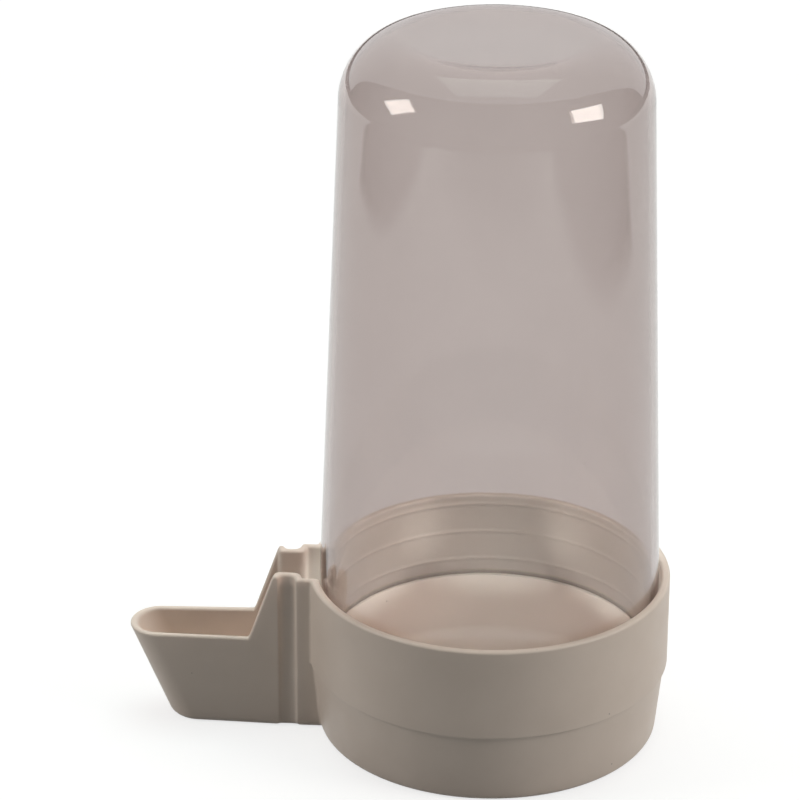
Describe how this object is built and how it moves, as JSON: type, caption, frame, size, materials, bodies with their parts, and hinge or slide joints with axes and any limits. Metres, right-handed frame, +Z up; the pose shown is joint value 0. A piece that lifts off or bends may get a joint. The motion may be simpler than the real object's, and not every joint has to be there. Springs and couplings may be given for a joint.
{
  "type": "bird water drinker",
  "caption": "Cage bird drinker: a clear tapered reservoir stands mouth down in a round ivory cup, whose open spout has a grooved neck that sits between cage wires.",
  "frame": {"origin": "middle of the cup's foot, on the surface it stands on", "axes": "+Z up along the reservoir, -X along the spout, +Y across it"},
  "size_m": [0.0904, 0.06, 0.1206],
  "materials": {
    "ivory_plastic": "opaque warm ivory moulded plastic, satin",
    "clear_plastic": "see-through moulded plastic with a faint smoky mauve tint, polished"
  },
  "bodies": {
    "base": {"base": "ivory_plastic"},
    "reservoir": {"reservoir": "clear_plastic"}
  },
  "joints": [
    {"name": "reservoir_lift", "type": "slide", "parent": "base", "child": "reservoir", "axis": [0, 0, 1], "range_m": [0, 0.03]}
  ]
}
